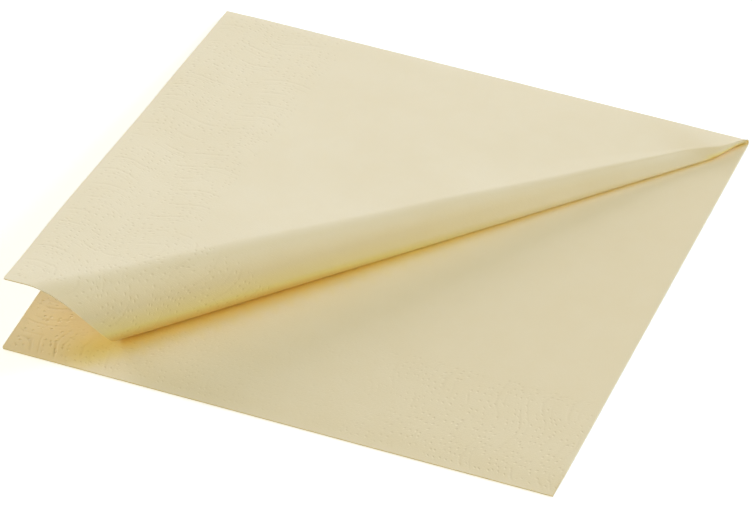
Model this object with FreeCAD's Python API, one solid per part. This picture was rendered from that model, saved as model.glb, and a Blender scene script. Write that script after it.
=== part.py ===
import FreeCAD, Part
import math
import os

# A square paper napkin folded in half twice.  The first fold lies along +X, the second along +Y.
# The upper leaf is lifted about the second fold and rolled under itself along the diagonal.
# Origin: middle of the folded square, on the table.  +X along the front side, +Y to the back, +Z up.
# Lengths in millimetres.

SIDE = 165.0             # side of the folded square
LAYER = 0.25             # thickness of one layer of the opened napkin
LAYER_GAP = 0.15         # air between the two layers of a leaf
REST_GAP = 0.10          # air between the tucked flap and the lower leaf
BACK_FOLD_RADIUS = 0.84  # middle line radius of the second fold
CORNER_RISE = 22.6       # height of the upper leaf's free corner over its fold
CREASE_BACK = 2.4        # from the second fold to the crease, along the first fold
CREASE_FOOT = 23.8       # from the left side to the line of the crease, along the front side
CREST_START = 7.0        # from the free corner to the start of the crest, along the open edge
CREST_RADIUS = 10.5      # middle radius of the crest at the open edge
CREST_TURN = 34.0        # degrees turned over the crest
SLOPE_WIDTH = 1.5        # flat strip between crest and belly at the open edge
BELLY_RADIUS = 8.5       # middle radius of the belly at the open edge
CREASE_RADIUS = 7.2      # middle radius of the crease at the open edge
CREASE_FILL = 0.8        # share of the flat front that the crease takes up at the first fold

HALF = SIDE / 2
SKIN = LAYER + LAYER_GAP / 2     # middle of a leaf to its outer faces
CORE = LAYER_GAP / 2             # middle of a leaf to its inner faces
WIDTH = SIDE - math.pi * (SKIN + CORE) / 4       # leaf from the first fold to its open edge
LENGTH = SIDE - math.pi * BACK_FOLD_RADIUS / 2   # leaf from the second fold to its open edge
FOLD_X = WIDTH - HALF
FOLD_Y = LENGTH - HALF
FLAP_Z = 3 * SKIN + REST_GAP     # middle of the tucked flap
SLANT = math.asin(CORNER_RISE / LENGTH)
FOLD_ARC = BACK_FOLD_RADIUS * (math.pi - SLANT)

TURNS = [i / 12 for i in range(13)]      # stations round a fold


def vec(x, y, z):
    return FreeCAD.Vector(x, y, z)


def turned(vector, axis, angle):
    return FreeCAD.Rotation(axis, math.degrees(angle)).multVec(vector)


class Seam:
    """Straight line in the unrolled sheet, through a point at an angle."""

    def __init__(self, point, angle):
        self.point, self.angle = point, angle

    def u_at(self, v):
        return self.point[0] + (v - self.point[1]) / math.tan(self.angle)

    def v_at(self, u):
        return self.point[1] + (u - self.point[0]) * math.tan(self.angle)


class Flat:
    """Flat piece of a leaf: u across from the first fold, v along from the second, w out of it."""

    def __init__(self, origin, across, along):
        self.origin, self.across, self.along = origin, across, along
        self.normal = across.cross(along)

    def place(self, u, v, w):
        return self.origin + self.across * u + self.along * v + self.normal * w

    def heading(self, angle):
        return self.across * math.cos(angle) + self.along * math.sin(angle)


class Bend:
    """Cone that the leaf rolls over, from a flat piece to the next."""

    def __init__(self, flat, tip, start, spread, turn):
        self.tip, self.start, self.spread = tip, start, spread
        self.end = start + turn * math.sin(spread)
        self.apex = flat.place(tip[0], tip[1], 0)
        self.ruling = flat.heading(start)
        self.normal = flat.normal
        self.axis = self.ruling * math.cos(spread) - self.normal * math.sin(spread)
        drift = self.end - start
        across = turned(flat.heading(-drift), self.axis, -turn)
        along = turned(flat.heading(math.pi / 2 - drift), self.axis, -turn)
        self.after = Flat(self.apex - across * tip[0] - along * tip[1], across, along)

    def place(self, u, v, w):
        u, v = u - self.tip[0], v - self.tip[1]
        swing = (math.atan2(v, u) - self.start) / math.sin(self.spread)
        reach = self.ruling * math.hypot(u, v) + self.normal * w
        return self.apex + turned(reach, self.axis, -swing)

    def seams(self):
        return [Seam(self.tip, self.start + (self.end - self.start) * s) for s in TURNS]


def lower_leaf(u, v, w):
    return vec(FOLD_X - u, FOLD_Y + v + FOLD_ARC, SKIN - w)


def back_fold(u, v, w):
    angle = SLANT - v / BACK_FOLD_RADIUS
    reach = BACK_FOLD_RADIUS + w
    return vec(FOLD_X - u, FOLD_Y + reach * math.sin(angle),
               SKIN + BACK_FOLD_RADIUS + reach * math.cos(angle))


def spline(points, stations):
    curve = Part.BSplineCurve()
    curve.interpolate(Points=points, Parameters=stations)
    return curve


def strip(one, two):
    return Part.makeRuledSurface(one, two)


def polygon(points):
    return Part.Face(Part.makePolygon(points + points[:1]))


def panel(one, two, stations):
    """Face between two rows of points, flat where a row has only its ends."""
    if len(stations) == 2:
        return polygon([one[0], one[1], two[1], two[0]])
    return strip(spline(one, stations).toShape(), spline(two, stations).toShape())


def leaf_faces(place, near, far, stations):
    """Faces of both layers between two rows of unrolled points, and the cut edges at the far row."""
    near = {w: [place(u, v, w) for u, v in near] for w in (SKIN, CORE, -CORE, -SKIN)}
    far = {w: [place(u, v, w) for u, v in far] for w in near}
    faces = [panel(near[w], far[w], stations) for w in near]
    faces += [panel(far[SKIN], far[CORE], stations), panel(far[-CORE], far[-SKIN], stations)]
    return faces


def quilt(rows, stations):
    """Smooth face through rows of points: one row for each turn, one point for each station."""
    lines = [spline(row, stations) for row in rows]
    columns = [spline([line.getPole(i + 1) for line in lines], TURNS)
               for i in range(lines[0].NbPoles)]
    poles = [[column.getPole(j + 1) for column in columns] for j in range(columns[0].NbPoles)]
    surface = Part.BSplineSurface()
    surface.buildFromPolesMultsKnots(
        poles, columns[0].getMultiplicities(), lines[0].getMultiplicities(),
        columns[0].getKnots(), lines[0].getKnots(), False, False,
        columns[0].Degree, lines[0].Degree)
    return surface.toShape()


def first_fold(place, rows_v, radius, stations):
    """Rounded side of a leaf along the first fold; rows_v gives v at each station for a u."""
    rows = []
    for s in TURNS:
        u, w = -radius * math.sin(math.pi * s), radius * math.cos(math.pi * s)
        rows.append([place(u, v, w) for v in rows_v(u)])
    if len(stations) == 2:
        return strip(spline([r[0] for r in rows], TURNS).toShape(),
                     spline([r[1] for r in rows], TURNS).toShape())
    return quilt(rows, stations)


def fold_end(place, v):
    """Rim of the first fold where it meets an open edge."""
    arcs = []
    for radius in (CORE, SKIN):
        rim = [place(-radius * math.sin(math.pi * s), v, radius * math.cos(math.pi * s))
               for s in TURNS]
        arcs.append(spline(rim, TURNS).toShape())
    return strip(arcs[0], arcs[1])


def straight_piece(place, stations_v):
    """Faces of a piece with square ends: leaf faces, left open edge and first fold."""
    stations = [i / (len(stations_v) - 1) for i in range(len(stations_v))]
    faces = leaf_faces(place, [(0, v) for v in stations_v], [(WIDTH, v) for v in stations_v],
                       stations)
    faces += [first_fold(place, lambda u: stations_v, r, stations) for r in (CORE, SKIN)]
    return faces


def rolled_piece(place, seams):
    """Faces of a piece between seams that run from the first fold to the front open edge."""
    stations = [i / (len(seams) - 1) for i in range(len(seams))]
    faces = leaf_faces(place, [(0, s.v_at(0)) for s in seams],
                       [(s.u_at(LENGTH), LENGTH) for s in seams], stations)
    faces += [first_fold(place, lambda u: [s.v_at(u) for s in seams], r, stations)
              for r in (CORE, SKIN)]
    return faces


def open_edge(place, one, two):
    """Cut edges of both layers between two points of the unrolled sheet."""
    return [polygon([place(*one, inner), place(*two, inner), place(*two, outer), place(*one, outer)])
            for inner, outer in ((CORE, SKIN), (-SKIN, -CORE))]


def lifted_piece(flat, seam):
    """Lifted plane of the upper leaf, from the second fold to the start of the crest."""
    near, far = (0, seam.v_at(0)), (seam.u_at(LENGTH), LENGTH)
    outline = [(0, 0), (WIDTH, 0), (WIDTH, LENGTH), far, near]
    faces = [polygon([flat.place(u, v, w) for u, v in outline])
             for w in (SKIN, CORE, -CORE, -SKIN)]
    faces += open_edge(flat.place, outline[1], outline[2])
    faces += open_edge(flat.place, outline[2], outline[3])
    faces += [first_fold(flat.place, lambda u: [0, seam.v_at(u)], r, [0, 1]) for r in (CORE, SKIN)]
    return faces


def tucked_flap(flat, seam):
    """Flap that lies under the upper leaf, out to the corner that was rolled under."""
    near, far = (0, seam.v_at(0)), (seam.u_at(LENGTH), LENGTH)
    corner = (0, LENGTH)
    faces = [polygon([flat.place(u, v, w) for u, v in (near, far, corner)])
             for w in (SKIN, CORE, -CORE, -SKIN)]
    faces += open_edge(flat.place, far, corner)
    faces += [first_fold(flat.place, lambda u: [seam.v_at(u), LENGTH], r, [0, 1])
              for r in (CORE, SKIN)]
    faces.append(fold_end(flat.place, LENGTH))
    return faces


def roll():
    """Lifted plane, crest, slope, belly, front and crease of the upper leaf, and its flap."""
    lifted = Flat(back_fold(0, 0, 0), vec(-1, 0, 0), vec(0, -math.cos(SLANT), math.sin(SLANT)))

    # the crease lies flat; its line meets the lifted plane at the point that the roll opens from
    crease_near = vec(FOLD_X, FOLD_Y - CREASE_BACK, FLAP_Z)
    crease = (vec(CREASE_FOOT - HALF, -HALF, FLAP_Z) - crease_near).normalize()
    meet_y = lifted.origin.y + (lifted.origin.z - FLAP_Z) / math.tan(SLANT)
    meet = crease_near + crease * ((meet_y - crease_near.y) / crease.y)
    gap = meet - lifted.origin
    tip = (gap.dot(lifted.across), gap.dot(lifted.along))

    start = math.atan2(LENGTH - tip[1], WIDTH - CREST_START - tip[0])
    reach = (LENGTH - tip[1]) / math.sin(start)
    crest = Bend(lifted, tip, start, math.atan(CREST_RADIUS / reach), math.radians(CREST_TURN))
    slope = crest.after

    # the belly turns until its flat front holds the line of the crease
    start = crest.end + SLOPE_WIDTH * math.sin(crest.end) / reach
    spread = math.atan(BELLY_RADIUS / reach)
    ruling = slope.heading(start)
    axis = ruling * math.cos(spread) - slope.normal * math.sin(spread)
    out = (ruling - axis * ruling.dot(axis)).normalize()
    bearing = math.atan2(crease.dot(out.cross(axis)), crease.dot(out))
    apart = math.acos(crease.dot(axis))
    turn = bearing - math.acos(math.tan(spread) / math.tan(apart))
    belly = Bend(slope, tip, start, spread, turn)
    front = belly.after
    line = belly.end + math.acos(math.cos(apart) / math.cos(spread))

    # the crease is a cone about its line, narrow at the first fold and wide at the open edge
    near_reach = (crease_near - meet).Length
    far_reach = (LENGTH - tip[1]) / math.sin(line)
    wedge = math.acos(front.normal.dot(vec(0, 0, 1))) / 2
    pinch = CREASE_FILL * near_reach * math.sin(line - belly.end) * math.tan(wedge)
    spread = math.atan((CREASE_RADIUS - pinch) / (far_reach - near_reach))
    back = pinch / math.tan(spread) - near_reach
    lead = math.asin(math.tan(spread) / math.tan(wedge))
    turn = 2 * math.acos(math.cos(lead) * math.sin(wedge))
    apex = (tip[0] - back * math.cos(line), tip[1] - back * math.sin(line))
    fold = Bend(front, apex, line - lead, spread, turn)

    first = Seam(tip, crest.start)
    last = Seam(apex, fold.end)
    faces = lifted_piece(lifted, first)
    faces += rolled_piece(crest.place, crest.seams())
    faces += rolled_piece(slope.place, [Seam(tip, crest.end), Seam(tip, belly.start)])
    faces += rolled_piece(belly.place, belly.seams())
    faces += rolled_piece(front.place, [Seam(tip, belly.end), Seam(apex, fold.start)])
    faces += rolled_piece(fold.place, fold.seams())
    faces += tucked_flap(fold.after, last)
    return faces


def napkin():
    front_v = -FOLD_ARC - LENGTH
    faces = straight_piece(lower_leaf, [front_v, -FOLD_ARC])
    faces += straight_piece(back_fold, [-FOLD_ARC * (1 - s) for s in TURNS])
    faces += open_edge(lower_leaf, (0, front_v), (WIDTH, front_v))
    faces.append(fold_end(lower_leaf, front_v))
    faces += roll()
    shell = Part.makeCompound(faces)
    shell.sewShape(1e-4)
    solid = Part.makeSolid(shell.Shells[0])
    if solid.Volume < 0:
        solid.reverse()
    return solid


os.makedirs("parts", exist_ok=True)
napkin().exportStep("parts/napkin.step")
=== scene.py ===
import bmesh
import bpy
import math
from mathutils import Matrix, Quaternion, Vector, noise


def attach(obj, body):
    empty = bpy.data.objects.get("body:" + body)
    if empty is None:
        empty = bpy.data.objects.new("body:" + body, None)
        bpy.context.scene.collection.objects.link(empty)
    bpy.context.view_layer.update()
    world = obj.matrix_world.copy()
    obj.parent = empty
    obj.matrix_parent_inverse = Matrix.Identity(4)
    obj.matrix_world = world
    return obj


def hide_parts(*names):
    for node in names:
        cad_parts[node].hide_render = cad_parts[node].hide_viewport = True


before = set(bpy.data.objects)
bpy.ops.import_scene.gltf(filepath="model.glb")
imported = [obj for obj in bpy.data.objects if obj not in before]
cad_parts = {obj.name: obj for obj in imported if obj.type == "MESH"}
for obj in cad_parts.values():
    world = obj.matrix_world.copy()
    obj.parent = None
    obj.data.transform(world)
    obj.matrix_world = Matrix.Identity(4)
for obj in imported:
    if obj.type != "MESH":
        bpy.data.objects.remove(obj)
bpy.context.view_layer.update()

# A tissue napkin folded in half twice, its upper leaf rolled under along the diagonal.
# The sheet is bent in millimetres and set down in metres.
# On the sheet, u runs from the first fold to the open edge on the left. v is 0 where the upper leaf
# leaves the second fold, grows towards its front edge, and is below 0 in the fold and the lower leaf.
# w is the distance from the middle of the leaf.

SIDE = 165.0             # side of the folded square
LAYER = 0.25             # thickness of one layer of the open sheet
LAYER_GAP = 0.15         # air between the two layers of a leaf
REST_GAP = 0.10          # air between the tucked flap and the lower leaf
BACK_FOLD_RADIUS = 0.84  # middle radius of the second fold
CORNER_RISE = 22.6       # height of the upper leaf's free corner over its fold
CREASE_BACK = 2.4        # from the second fold to the crease, along the first fold
CREASE_FOOT = 23.8       # from the left side to the line of the crease, along the front side
CREST_START = 7.0        # from the free corner to the start of the crest, along the open edge
CREST_RADIUS = 10.5      # middle radius of the crest at the open edge
CREST_TURN = 34.0        # degrees turned over the crest
SLOPE_WIDTH = 1.5        # flat strip between crest and belly at the open edge
BELLY_RADIUS = 8.5       # middle radius of the belly at the open edge
CREASE_RADIUS = 7.2      # middle radius of the crease at the open edge
CREASE_FILL = 0.8        # share of the flat front that the crease takes up at the first fold
MISFOLD = 0.5            # how far the raised corner sits in from the left side
CORNER_ROUND = 0.9       # radius of the cut corners
PINCHED_SKIN = 0.16      # middle of a leaf to its outer faces, at the cut edges
PINCHED_CORE = 0.02      # middle of a leaf to its inner faces, at the cut edges
PINCH_WIDTH = 10.0       # width of the pinched edge
LEAN = 4.1               # how far the crest leans back near the closed corner
LEAN_REACH = 210.0       # where along the crease that lean has run out
LEAN_FOOT = 1.6          # height at which the roll starts to lean
ROLL_START = 1.2         # height of the roll over that at the closed corner
ROLL_GAIN = 0.085        # what the roll gains in height per millimetre along the crease
CREST_SINK = 1.4         # how far the crest sinks near the closed corner
SQUEEZE = 0.95           # share by which the roll is pressed back into the closed corner
SQUEEZE_BACK = 0.5       # where that press ends, behind the second fold's line
SQUEEZE_REACH = 5.5      # width of that press, from the first fold
SWELL_PACE = 0.055       # swells of the soft paper per millimetre
SWELL_FLAT = 0.10        # height of the swells where the paper lies flat
SWELL_RAISED = 0.5       # height of the swells in the raised leaf
EDGE_STEPS = (0, 0.25, 0.5, 0.8, 1.1, 1.6, 2.6, 4.2, 6.5)    # mesh lines in from a cut edge

BORDER_WIDTH = 39.5      # embossed border, in from the edges of the open sheet
SWING_LENGTH = 27.0      # how far in from the edge an embossed row swings to and fro once
SWING = 1.8              # how far it swings to each side
ROW_DRIFT = 7.0          # how far the rows wander in all
DOT_PITCH = 2.4          # from dot to dot along a row
DOT_ROW = 1.9            # from one row of dots to the next
GROOVE_PITCH = 7.6       # from one groove to the next
RAGGED = 4.0             # how far the border's inner edge wanders in all

CREAM = (0.940, 0.852, 0.605, 1)
CLOUDED_CREAM = (0.930, 0.838, 0.585, 1)
FIBRE_CREAM = (0.89, 0.78, 0.52, 1)
# painted shade in the pressed dots and grooves
DOT_SHADE_CREAM = (0.74, 0.62, 0.38, 1)
# painted warm shade along the crease: colour multipliers from none, through yellower, to the darkest in
# the crevice
CREASE_SHADE_TINTS = ((1, 1, 1, 1), (1, 0.97, 0.60, 1), (0.93, 0.74, 0.32, 1))
HALF_SHADE_TINT = 0.6          # where the middle one of these painted shades is reached
DOT_DARKENING = 0.25
GROOVE_DARKENING = 0.14
CREPE_HEIGHT = 0.00005   # reliefs in metres
DOT_DEPTH = 0.00011
GROOVE_DEPTH = 0.00006

FLOOR_COLOUR = (0.82, 0.86, 0.92, 1)
FLOOR_GLOW = 0.54        # white that the camera sees on top of the lit floor
WORLD_LIGHT = (0.195, 0.226, 0.186, 1)
WHITE = (1, 1, 1, 1)

PHOTO_WIDTH = 752
FOCAL_PIXELS = 5989.364878
CAMERA_AZIMUTH = 21.195328
CAMERA_ELEVATION = 39.973922
CAMERA_ROLL = 0.009465
CAMERA_TARGET = (-0.000628301, -0.004103795, 0)
CAMERA_DISTANCE = 1.711703877

HALF = SIDE / 2
SHEET = 2 * SIDE                 # side of the open sheet
SKIN = LAYER + LAYER_GAP / 2     # middle of a leaf to its outer faces
CORE = LAYER_GAP / 2             # middle of a leaf to its inner faces
MIDDLE = (SKIN + CORE) / 2       # middle of a leaf to the middle of a layer
WIDTH = SIDE - math.pi * MIDDLE / 2              # leaf from the first fold to its open edge
LENGTH = SIDE - math.pi * BACK_FOLD_RADIUS / 2   # leaf from the second fold to its open edge
FOLD_X = WIDTH - HALF
FOLD_Y = LENGTH - HALF
FLAP_Z = 3 * SKIN + REST_GAP     # middle of the tucked flap
SLANT = math.asin(CORNER_RISE / LENGTH)
FOLD_ARC = BACK_FOLD_RADIUS * (math.pi - SLANT)
UP = Vector((0, 0, 1))
CREASE_NEAR = Vector((FOLD_X, FOLD_Y - CREASE_BACK, FLAP_Z))
CREASE = (Vector((CREASE_FOOT - HALF, -HALF, FLAP_Z)) - CREASE_NEAR).normalized()
BEHIND = CREASE.cross(UP)


class Flat:
    """Flat piece of a leaf: u across from the first fold, v along from the second, w out of it."""

    def __init__(self, origin, across, along):
        self.origin, self.across, self.along = origin, across, along
        self.normal = across.cross(along)

    def place(self, u, v, w):
        return self.origin + self.across * u + self.along * v + self.normal * w

    def heading(self, angle):
        return self.across * math.cos(angle) + self.along * math.sin(angle)


class Bend:
    """Cone that the leaf rolls over, from a flat piece to the next."""

    def __init__(self, flat, tip, start, spread, turn):
        self.tip, self.start, self.spread = tip, start, spread
        self.end = start + turn * math.sin(spread)
        self.apex = flat.place(tip[0], tip[1], 0)
        self.ruling = flat.heading(start)
        self.normal = flat.normal
        self.axis = self.ruling * math.cos(spread) - self.normal * math.sin(spread)
        back = Quaternion(self.axis, -turn)
        across = back @ flat.heading(start - self.end)
        along = back @ flat.heading(math.pi / 2 + start - self.end)
        self.after = Flat(self.apex - across * tip[0] - along * tip[1], across, along)

    def place(self, u, v, w):
        u, v = u - self.tip[0], v - self.tip[1]
        swing = (math.atan2(v, u) - self.start) / math.sin(self.spread)
        reach = self.ruling * math.hypot(u, v) + self.normal * w
        return self.apex + Quaternion(self.axis, -swing) @ reach

    def lines(self, count):
        """Straight lines of the cone, as near v and far u, with the place that they lie in."""
        steps = [self.start + (self.end - self.start) * i / count for i in range(count + 1)]
        return [line_at(self.tip, angle, self.place) for angle in steps]


def lower_leaf(u, v, w):
    return Vector((FOLD_X - u, FOLD_Y + v + FOLD_ARC, SKIN - w))


def back_fold(u, v, w):
    angle = SLANT - v / BACK_FOLD_RADIUS
    reach = BACK_FOLD_RADIUS + w
    return Vector((FOLD_X - u, FOLD_Y + reach * math.sin(angle),
                   SKIN + BACK_FOLD_RADIUS + reach * math.cos(angle)))


def line_at(tip, angle, place):
    """Straight line in the sheet from the first fold to the front open edge."""
    near = tip[1] - tip[0] * math.tan(angle)
    far = tip[0] + (LENGTH - tip[1]) / math.tan(angle)
    return (near, (far, LENGTH), place)


def spaced(start, stop, count, last=True):
    steps = [start + (stop - start) * i / count for i in range(count + 1)]
    return steps if last else steps[:-1]


def upper_leaf_lines():
    """Lines of the upper leaf from the back fold to the corner that is tucked under."""
    lifted = Flat(back_fold(0, 0, 0), Vector((-1, 0, 0)),
                  Vector((0, -math.cos(SLANT), math.sin(SLANT))))
    meet_y = lifted.origin.y + (lifted.origin.z - FLAP_Z) / math.tan(SLANT)
    meet = CREASE_NEAR + CREASE * ((meet_y - CREASE_NEAR.y) / CREASE.y)
    gap = meet - lifted.origin
    tip = (gap.dot(lifted.across), gap.dot(lifted.along))

    start = math.atan2(LENGTH - tip[1], WIDTH - CREST_START - tip[0])
    reach = (LENGTH - tip[1]) / math.sin(start)
    crest = Bend(lifted, tip, start, math.atan(CREST_RADIUS / reach), math.radians(CREST_TURN))
    slope = crest.after

    start = crest.end + SLOPE_WIDTH * math.sin(crest.end) / reach
    spread = math.atan(BELLY_RADIUS / reach)
    ruling = slope.heading(start)
    axis = ruling * math.cos(spread) - slope.normal * math.sin(spread)
    out = (ruling - axis * ruling.dot(axis)).normalized()
    bearing = math.atan2(CREASE.dot(out.cross(axis)), CREASE.dot(out))
    apart = math.acos(CREASE.dot(axis))
    turn = bearing - math.acos(math.tan(spread) / math.tan(apart))
    belly = Bend(slope, tip, start, spread, turn)
    front = belly.after
    line = belly.end + math.acos(math.cos(apart) / math.cos(spread))

    near_reach = (CREASE_NEAR - meet).length
    far_reach = (LENGTH - tip[1]) / math.sin(line)
    wedge = math.acos(front.normal.dot(UP)) / 2
    pinch = CREASE_FILL * near_reach * math.sin(line - belly.end) * math.tan(wedge)
    spread = math.atan((CREASE_RADIUS - pinch) / (far_reach - near_reach))
    back = pinch / math.tan(spread) - near_reach
    lead = math.asin(math.tan(spread) / math.tan(wedge))
    turn = 2 * math.acos(math.cos(lead) * math.sin(wedge))
    apex = (tip[0] - back * math.cos(line), tip[1] - back * math.sin(line))
    fold = Bend(front, apex, line - lead, spread, turn)
    flap = fold.after

    # round the lifted plane: down the left side to the free corner, then along the front
    first_near = line_at(tip, crest.start, lifted.place)[0]
    left = spaced(0, LENGTH - 6, 34) + [LENGTH - s for s in (4, 2.6, 1.6, 1.1, 0.8, 0.5, 0.25, 0)]
    rim = [(WIDTH, v) for v in left] + [(WIDTH - s, LENGTH) for s in EDGE_STEPS[1:-1]]
    lines = [(first_near * i / len(rim), far, lifted.place) for i, far in enumerate(rim)]
    lines += crest.lines(14)
    lines += belly.lines(20)
    lines += fold.lines(26)
    last_near, last_far, _ = lines[-1]
    for s in spaced(0, 1, 20)[1:]:
        lines.append((last_near + (LENGTH - last_near) * s, (last_far[0] * (1 - s), LENGTH),
                      flap.place))
    return lines


def sheet_lines():
    """Every line of the folded sheet, from the lower leaf's front edge to the tucked corner."""
    front = -FOLD_ARC - LENGTH
    lower = [front + s for s in EDGE_STEPS] + spaced(front + 10, -FOLD_ARC - 2, 34)
    bend = spaced(-FOLD_ARC, 0, 14, last=False)
    lines = [(v, (WIDTH, v), lower_leaf) for v in lower]
    lines += [(v, (WIDTH, v), back_fold) for v in bend]
    return lines + upper_leaf_lines()


def rounded(u, v):
    """Pulls a point of the sheet inside the rounded cut corners."""
    across = WIDTH - u
    for corner, inward in ((-FOLD_ARC - LENGTH, 1), (LENGTH, -1)):
        along = (v - corner) * inward
        if across < CORNER_ROUND and along < CORNER_ROUND:
            gap = math.hypot(CORNER_ROUND - across, CORNER_ROUND - along)
            if gap > CORNER_ROUND:
                pull = CORNER_ROUND / gap
                across = CORNER_ROUND - (CORNER_ROUND - across) * pull
                along = CORNER_ROUND - (CORNER_ROUND - along) * pull
                u, v = WIDTH - across, corner + along * inward
    return u, v


def eased(value, start, stop):
    """Soft step from 0 at the start to 1 at the stop."""
    share = min(1.0, max(0.0, (value - start) / (stop - start)))
    return share * share * (3 - 2 * share)


def faces_of_leaf(u, v):
    """Outer and inner offset of a layer, which the cutter has pinched thin along the edges."""
    edge = min(WIDTH - u, LENGTH - v, v + FOLD_ARC + LENGTH)
    full = eased(edge, 0, PINCH_WIDTH)
    return (PINCHED_SKIN + (SKIN - PINCHED_SKIN) * full, PINCHED_CORE + (CORE - PINCHED_CORE) * full)


def beside_crease(point):
    """Reach of a point along the crease from the closed corner, and distance behind the crease."""
    return (point - CREASE_NEAR).dot(CREASE), (point - CREASE_NEAR).dot(BEHIND)


def settle(point, u, v):
    """Soft tissue: a roll that leans back and lies flat in the closed corner, and slight swells."""
    if v > 0:
        reach, back = beside_crease(point)
        share = max(0, 1 - reach / LEAN_REACH) * eased(reach, 0, 20) * eased(back, 60, 20)
        height = (point.z - LEAN_FOOT) / (ROLL_START + ROLL_GAIN * max(0, reach))
        height = min(1, max(0, height))
        point += BEHIND * (LEAN * share * eased(height, 0, 1))
        point.z -= CREST_SINK * share ** 2 * height ** 2
        into = max(0, 1 - max(0, u) / SQUEEZE_REACH) ** 1.5
        point.y += (FOLD_Y + SQUEEZE_BACK - point.y) * SQUEEZE * into
    spot = Vector((point.x * SWELL_PACE, point.y * SWELL_PACE, 3.7))
    swell = noise.noise(spot) * 0.5 + 0.5
    lift = min(1.0, max(0.0, (point.z - 1.4) / 12))
    wide_swell = noise.noise(spot * 0.55 + Vector((9.1, 2.3, 0)))
    point.z += swell * SWELL_FLAT + lift * SWELL_RAISED * wide_swell
    return point


def painted_shade_near_crease(point, place):
    """Share of painted warm shade near the crease, from the point's reach along it and distance behind it
    in millimetres: the colour is darkened and yellowed where the crevice lies in shade and catches warm
    bounced light.
    """
    reach, back = beside_crease(point)
    share = eased(reach, 50, 155) * eased(reach, 222, 206)
    if place == lower_leaf:
        return 0.65 * share * eased(back, -3, 3) * eased(back, 15, 5)
    # the painted warm shade climbs the roll's front by a height that grows away from the closed corner
    height = (point.z - 0.7) / (0.0333 * max(1, reach))
    front = share * eased(height, 1.9, 0.5) * eased(back, 18, 10)
    # painted shade also fills the gap low on the roll at the closed corner
    corner = eased(reach, 14, 10) * eased(reach, 0.5, 3.5) * eased(back, 5, 2)
    return front + 0.95 * corner * eased(point.z, 2.8, 1.6)


def napkin_sheet():
    """The whole napkin: one grid of the open sheet, given its thickness and bent through every fold."""
    lines = sheet_lines()
    flat_steps = [1 - s / SIDE for s in EDGE_STEPS] + spaced(0.94, 0.07, 48) + spaced(0.06, 0, 10)
    turn_steps = spaced(0, math.pi, 10)[1:-1]
    columns = [("top", s) for s in flat_steps]
    columns += [("turn", s) for s in turn_steps]
    columns += [("under", s) for s in reversed(flat_steps)]

    mesh = bpy.data.meshes.new("paper_napkin")
    bm = bmesh.new()
    shade_paint = bm.verts.layers.float.new("painted_crease_shade")
    sheet_map = bm.loops.layers.uv.new("open_sheet")
    bmesh.ops.create_grid(bm, x_segments=len(columns) - 1, y_segments=len(lines) - 1, size=0.5)
    thick = bmesh.ops.extrude_face_region(bm, geom=bm.faces[:])
    inside = {item for item in thick["geom"] if isinstance(item, bmesh.types.BMVert)}
    unrolled = {}
    for vert in bm.verts:
        side, step = columns[round((vert.co.x + 0.5) * (len(columns) - 1))]
        near, far, place = lines[round((vert.co.y + 0.5) * (len(lines) - 1))]
        if side == "turn":
            skin = faces_of_leaf(0, near)[1 if vert in inside else 0]
            u, w = -skin * math.sin(step), skin * math.cos(step)
            rise = (far[1] - near) / far[0] if far[0] > 1 else 0
            v = near + rise * u
            sheet_u = MIDDLE * (math.pi / 2 - step)
        else:
            u, v = rounded(step * far[0], near + step * (far[1] - near))
            skin = faces_of_leaf(u, v)[1 if vert in inside else 0]
            w = skin if side == "top" else -skin
            if place == lower_leaf:
                w += SKIN - faces_of_leaf(u, v)[0]
            sheet_u = (u + MIDDLE * math.pi / 2) * (1 if side == "top" else -1)
        drift = MISFOLD * max(0, v) / LENGTH * max(0, u) / WIDTH
        unrolled[vert] = (sheet_u, v + FOLD_ARC / 2)
        point = place(u - drift, v, w)
        # painted warm shade along the crease, kept on each vertex for the material
        vert[shade_paint] = painted_shade_near_crease(point, place)
        vert.co = settle(point, u, v) * 0.001
    for face in bm.faces:
        face.smooth = True
        for loop in face.loops:
            across, along = unrolled[loop.vert]
            loop[sheet_map].uv = (across / SHEET + 0.5, along / SHEET + 0.5)
    tucked = [vert for vert in bm.verts if unrolled[vert][1] > LENGTH + FOLD_ARC / 2 - 0.001]
    bmesh.ops.remove_doubles(bm, verts=tucked, dist=1e-6)
    bmesh.ops.recalc_face_normals(bm, faces=bm.faces)
    for edge in bm.edges:
        if edge.is_manifold and edge.calc_face_angle() > 0.7:
            edge.smooth = False
    bm.to_mesh(mesh)
    bm.free()
    piece = bpy.data.objects.new("paper_napkin", mesh)
    bpy.context.collection.objects.link(piece)
    return piece


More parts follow.
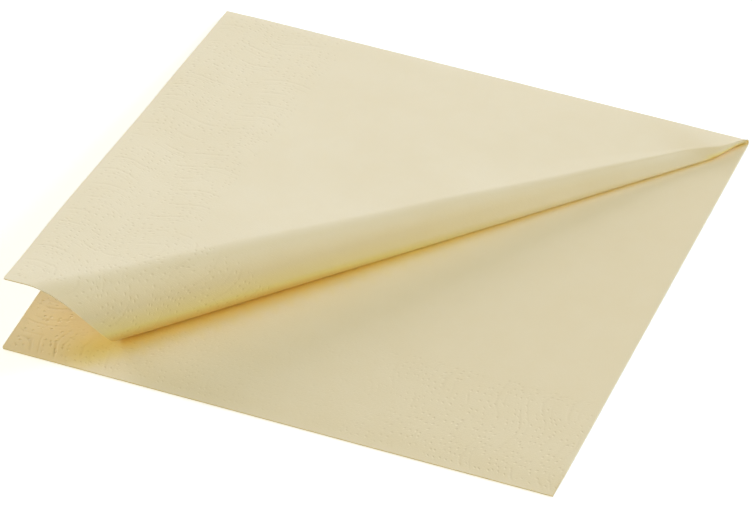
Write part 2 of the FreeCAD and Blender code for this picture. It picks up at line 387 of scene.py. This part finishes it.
class Nodes:
    """Short hand for building a node tree."""

    def __init__(self, tree):
        self.tree = tree

    def add(self, kind, **settings):
        node = self.tree.nodes.new(kind)
        for name, value in settings.items():
            setattr(node, name, value)
        return node

    def link(self, source, target):
        if isinstance(source, bpy.types.NodeSocket):
            self.tree.links.new(source, target)
        else:
            target.default_value = source

    def math(self, operation, *values, clamp=False):
        node = self.add("ShaderNodeMath", operation=operation, use_clamp=clamp)
        for value, socket in zip(values, node.inputs):
            self.link(value, socket)
        return node.outputs[0]

    def ramp(self, value, low, high, to_low=0.0, to_high=1.0):
        node = self.add("ShaderNodeMapRange", interpolation_type="SMOOTHSTEP")
        for source, name in ((value, "Value"), (low, "From Min"), (high, "From Max"),
                             (to_low, "To Min"), (to_high, "To Max")):
            self.link(source, node.inputs[name])
        return node.outputs["Result"]

    def vector(self, x, y, z=0.0):
        node = self.add("ShaderNodeCombineXYZ")
        for value, socket in zip((x, y, z), node.inputs):
            self.link(value, socket)
        return node.outputs[0]

    def noise(self, vector, scale, detail=2.0, rough=0.5):
        node = self.add("ShaderNodeTexNoise")
        self.link(vector, node.inputs["Vector"])
        node.inputs["Scale"].default_value = scale
        node.inputs["Detail"].default_value = detail
        node.inputs["Roughness"].default_value = rough
        return node.outputs["Fac"]

    def centred(self, value, width):
        """A value from 0 to 1 as a distance to either side of the middle of a width."""
        return self.math("MULTIPLY", self.math("SUBTRACT", value, 0.5), width)

    def camera_white(self):
        """1 where the camera looks, also by way of gloss or glass, and 0 for the light itself."""
        path = self.add("ShaderNodeLightPath")
        return self.math("MAXIMUM", path.outputs["Is Camera Ray"],
                         self.math("MAXIMUM", path.outputs["Is Glossy Ray"],
                                   path.outputs["Is Transmission Ray"]))

    def blend(self, share, first, second, kind="MIX"):
        node = self.add("ShaderNodeMix", data_type="RGBA", blend_type=kind)
        self.link(share, node.inputs["Factor"])
        self.link(first, node.inputs["A"])
        self.link(second, node.inputs["B"])
        return node.outputs["Result"]


def embossing_group():
    """Embossed border of the open sheet: dotted, wavy rows pressed in along its four edges."""
    tree = bpy.data.node_groups.new("embossed_border", "ShaderNodeTree")
    for name in ("Across", "Along"):
        tree.interface.new_socket(name=name, in_out="INPUT", socket_type="NodeSocketFloat")
    for name in ("Dots", "Grooves"):
        tree.interface.new_socket(name=name, in_out="OUTPUT", socket_type="NodeSocketFloat")
    n = Nodes(tree)
    given = n.add("NodeGroupInput")
    result = n.add("NodeGroupOutput")

    # distances in millimetres from the sheet's edges
    across, along = given.outputs["Across"], given.outputs["Along"]
    side_gap = n.math("SUBTRACT", SIDE, n.math("ABSOLUTE", across))
    end_gap = n.math("SUBTRACT", SIDE, n.math("ABSOLUTE", along))
    beside = n.math("LESS_THAN", side_gap, end_gap)
    inward = n.math("MINIMUM", side_gap, end_gap)
    run = n.math("ADD", n.math("MULTIPLY", along, beside),
                 n.math("MULTIPLY", across, n.math("SUBTRACT", 1.0, beside)))

    # wavy rows run across the border, and swing to and fro as they go in from the edge
    swing = n.math("SINE", n.math("MULTIPLY", inward, 2 * math.pi / SWING_LENGTH))
    swing = n.math("MULTIPLY", swing, SWING)
    drift = n.centred(n.noise(n.vector(across, along), 0.045), ROW_DRIFT)
    row = n.math("ADD", run, n.math("ADD", swing, drift))

    dots = n.add("ShaderNodeTexVoronoi", feature="F1", voronoi_dimensions="2D")
    dots.inputs["Randomness"].default_value = 0.6
    dots.inputs["Scale"].default_value = 1.0
    n.link(n.vector(n.math("DIVIDE", inward, DOT_PITCH), n.math("DIVIDE", row, DOT_ROW)),
           dots.inputs["Vector"])
    dot = n.ramp(dots.outputs["Distance"], 0.05, 0.26, 1.0, 0.0)
    kept = n.ramp(n.noise(n.vector(across, along, 4.0), 0.2), 0.36, 0.60)

    # every few rows a soft groove, in short flowing strokes with a finer one beside it
    wave = n.math("FRACT", n.math("DIVIDE", row, GROOVE_PITCH))
    groove = n.ramp(n.math("ABSOLUTE", n.math("SUBTRACT", wave, 0.35)), 0.0, 0.10, 1.0, 0.0)
    second = n.ramp(n.math("ABSOLUTE", n.math("SUBTRACT", wave, 0.68)), 0.0, 0.07, 0.6, 0.0)
    stroke = n.ramp(n.noise(n.vector(n.math("MULTIPLY", inward, 0.55), run), 0.14, 1.0),
                    0.46, 0.58)
    groove = n.math("MULTIPLY", n.math("ADD", groove, second), stroke)

    # the dots and grooves, in relief and in their painted shade, are faint over one stretch and strongest
    # at the lower leaf's left corner
    spot_across = n.math("SUBTRACT", n.math("ABSOLUTE", across), 100.0)
    spot_across = n.math("POWER", n.math("DIVIDE", spot_across, 50.0), 2.0)
    spot_along = n.math("POWER", n.math("DIVIDE", n.math("ADD", along, 145.0), 30.0), 2.0)
    strength = n.ramp(n.math("ADD", spot_across, spot_along), 0.5, 1.5, 0.2, 1.0)
    corner = n.math("SUBTRACT", n.math("ABSOLUTE", across), along)
    strength = n.math("MULTIPLY", strength, n.ramp(corner, 235.0, 290.0, 0.55, 1.7))

    ragged = n.centred(n.noise(n.vector(across, along, 9.0), 0.22), RAGGED)
    border = n.ramp(n.math("ADD", inward, ragged), BORDER_WIDTH - 0.9, BORDER_WIDTH + 0.9, 1.0, 0.0)
    border = n.math("MULTIPLY", border, strength)
    border = n.math("MULTIPLY", border, n.ramp(inward, 1.0, 2.4))
    n.link(n.math("MULTIPLY", n.math("MULTIPLY", dot, kept), border), result.inputs["Dots"])
    n.link(n.math("MULTIPLY", groove, border), result.inputs["Grooves"])
    return tree


def crepe_group():
    """Crepe and fibre of dry tissue: short fine ridges across the sheet, and loose fibres."""
    tree = bpy.data.node_groups.new("tissue_crepe", "ShaderNodeTree")
    for name in ("Across", "Along"):
        tree.interface.new_socket(name=name, in_out="INPUT", socket_type="NodeSocketFloat")
    for name in ("Height", "Cloud"):
        tree.interface.new_socket(name=name, in_out="OUTPUT", socket_type="NodeSocketFloat")
    n = Nodes(tree)
    given = n.add("NodeGroupInput")
    result = n.add("NodeGroupOutput")
    across, along = given.outputs["Across"], given.outputs["Along"]
    ridges = n.noise(n.vector(n.math("MULTIPLY", across, 0.8), n.math("MULTIPLY", along, 3.4)),
                     1.0, 3.0, 0.6)
    fibres = n.noise(n.vector(n.math("MULTIPLY", across, 5.5), n.math("MULTIPLY", along, 5.0)),
                     1.0, 2.0, 0.7)
    height = n.math("ADD", n.math("MULTIPLY", ridges, 0.7), n.math("MULTIPLY", fibres, 0.3))
    n.link(height, result.inputs["Height"])
    n.link(n.noise(n.vector(across, along, 2.0), 0.09, 4.0, 0.6), result.inputs["Cloud"])
    return tree


def tissue_paper():
    """Cream tissue: soft, matt and slightly cloudy, with painted shade in the pressed dots and grooves
    and painted warm shade along the crease.
    """
    material = bpy.data.materials.new("cream_tissue")
    material.use_nodes = True
    tree = material.node_tree
    n = Nodes(tree)
    shader = tree.nodes["Principled BSDF"]
    sheet = n.add("ShaderNodeUVMap", uv_map="open_sheet")
    parts = n.add("ShaderNodeSeparateXYZ")
    n.link(sheet.outputs["UV"], parts.inputs["Vector"])
    across = n.centred(parts.outputs["X"], SHEET)
    along = n.centred(parts.outputs["Y"], SHEET)

    emboss = n.add("ShaderNodeGroup", node_tree=embossing_group())
    crepe = n.add("ShaderNodeGroup", node_tree=crepe_group())
    for group in (emboss, crepe):
        n.link(across, group.inputs["Across"])
        n.link(along, group.inputs["Along"])

    dots, grooves = emboss.outputs["Dots"], emboss.outputs["Grooves"]
    cloud = n.ramp(crepe.outputs["Cloud"], 0.3, 0.7)
    base = n.blend(cloud, CLOUDED_CREAM, CREAM)
    fine = n.ramp(crepe.outputs["Height"], 0.35, 0.65)
    base = n.blend(n.math("MULTIPLY", n.math("SUBTRACT", 1.0, fine), 0.10), base, FIBRE_CREAM)
    # painted shade in the pressed dots and grooves, darker where they are deepest
    dot_shade = n.math("ADD", n.math("MULTIPLY", dots, DOT_DARKENING),
                     n.math("MULTIPLY", grooves, GROOVE_DARKENING))
    base = n.blend(dot_shade, base, DOT_SHADE_CREAM)
    # painted warm shade along the crease: the colour is multiplied darker and yellower near it
    shade_paint = n.add("ShaderNodeAttribute", attribute_name="painted_crease_shade")
    shade_ramp = n.add("ShaderNodeValToRGB")
    shade_ramp.color_ramp.elements.new(HALF_SHADE_TINT)
    for stop, colour in zip(shade_ramp.color_ramp.elements, CREASE_SHADE_TINTS):
        stop.color = colour
    n.link(shade_paint.outputs["Fac"], shade_ramp.inputs["Fac"])
    colour = n.blend(1.0, base, shade_ramp.outputs["Color"], "MULTIPLY")
    n.link(colour, shader.inputs["Base Color"])
    n.link(n.ramp(crepe.outputs["Height"], 0.3, 0.7, 0.98, 0.90), shader.inputs["Roughness"])
    shader.inputs["Specular IOR Level"].default_value = 0.2
    shader.inputs["Sheen Weight"].default_value = 0.08
    shader.inputs["Sheen Roughness"].default_value = 0.6

    relief = n.math("MULTIPLY", crepe.outputs["Height"], CREPE_HEIGHT)
    relief = n.math("SUBTRACT", relief, n.math("MULTIPLY", dots, DOT_DEPTH))
    relief = n.math("SUBTRACT", relief, n.math("MULTIPLY", grooves, GROOVE_DEPTH))
    bump = n.add("ShaderNodeBump")
    bump.inputs["Strength"].default_value = 1.0
    bump.inputs["Distance"].default_value = 1.0
    n.link(relief, bump.inputs["Height"])
    n.link(bump.outputs["Normal"], shader.inputs["Normal"])
    return material


def pale_floor():
    """Large pale floor that keeps the napkin's soft shadow."""
    mesh = bpy.data.meshes.new("floor")
    bm = bmesh.new()
    bmesh.ops.create_grid(bm, x_segments=1, y_segments=1, size=4.0)
    bm.to_mesh(mesh)
    bm.free()
    floor = bpy.data.objects.new("floor", mesh)
    bpy.context.collection.objects.link(floor)
    material = bpy.data.materials.new("pale_floor")
    material.use_nodes = True
    tree = material.node_tree
    n = Nodes(tree)
    shader = tree.nodes["Principled BSDF"]
    shader.inputs["Base Color"].default_value = FLOOR_COLOUR
    shader.inputs["Roughness"].default_value = 0.9
    shader.inputs["Specular IOR Level"].default_value = 0.1
    glow = n.add("ShaderNodeEmission")
    glow.inputs["Color"].default_value = WHITE
    n.link(n.math("MULTIPLY", n.camera_white(), FLOOR_GLOW), glow.inputs["Strength"])
    both = n.add("ShaderNodeAddShader")
    tree.links.new(shader.outputs[0], both.inputs[0])
    tree.links.new(glow.outputs[0], both.inputs[1])
    tree.links.new(both.outputs[0], tree.nodes["Material Output"].inputs["Surface"])
    mesh.materials.append(material)
    return floor


def soft_lamp(name, bearing, height, light):
    """Wide soft lamp far off: bearing clockwise from the back, height over the table, both in degrees."""
    bearing, height = math.radians(bearing), math.radians(height)
    towards = Vector((math.sin(bearing) * math.cos(height), math.cos(bearing) * math.cos(height),
                      math.sin(height)))
    strongest = max(light)
    data = bpy.data.lights.new(name, "SUN")
    data.angle = math.radians(30)
    data.energy = math.pi * strongest
    data.color = [channel / strongest for channel in light]
    lamp = bpy.data.objects.new(name, data)
    lamp.rotation_euler = towards.to_track_quat("Z", "Y").to_euler()
    bpy.context.collection.objects.link(lamp)


def studio():
    """Low soft lamps behind on both sides, a warm fill in front, and a white surround."""
    world = bpy.data.worlds.new("studio")
    bpy.context.scene.world = world
    world.use_nodes = True
    tree = world.node_tree
    n = Nodes(tree)
    background = tree.nodes["Background"]
    n.link(n.blend(n.camera_white(), WORLD_LIGHT, WHITE), background.inputs["Color"])
    soft_lamp("back_left", -45, 17, (0.465, 0.449, 0.545))
    soft_lamp("back_right", 45, 17, (0.609, 0.702, 0.990))
    soft_lamp("high_left", -90, 65, (0.072, 0.070, 0.082))
    soft_lamp("front_fill", 180, 40, (0.294, 0.189, 0.004))


def photo_camera():
    """Camera at the photograph's place, found from the napkin's corners and edges."""
    azimuth, elevation = math.radians(CAMERA_AZIMUTH), math.radians(CAMERA_ELEVATION)
    back = Vector((math.sin(azimuth) * math.cos(elevation),
                   -math.cos(azimuth) * math.cos(elevation), math.sin(elevation)))
    right = Vector((math.cos(azimuth), math.sin(azimuth), 0))
    up = back.cross(right)
    rolled_right = right * math.cos(CAMERA_ROLL) + up * math.sin(CAMERA_ROLL)
    rolled_up = up * math.cos(CAMERA_ROLL) - right * math.sin(CAMERA_ROLL)
    data = bpy.data.cameras.new("camera")
    data.sensor_width = 36.0
    data.lens = FOCAL_PIXELS / PHOTO_WIDTH * data.sensor_width
    data.clip_start = 0.05
    data.clip_end = 20.0
    camera = bpy.data.objects.new("camera", data)
    turn = Matrix((rolled_right, rolled_up, back)).transposed().to_4x4()
    place = Vector(CAMERA_TARGET) + back * CAMERA_DISTANCE
    camera.matrix_world = Matrix.Translation(place) @ turn
    bpy.context.collection.objects.link(camera)
    bpy.context.scene.camera = camera


napkin = napkin_sheet()
napkin.data.materials.append(tissue_paper())
floor = pale_floor()
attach(napkin, "root")
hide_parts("napkin")
photo_camera()
studio()
bpy.context.scene.view_settings.view_transform = "Standard"
bpy.context.scene.cycles.max_bounces = 20
bpy.context.scene.cycles.diffuse_bounces = 16
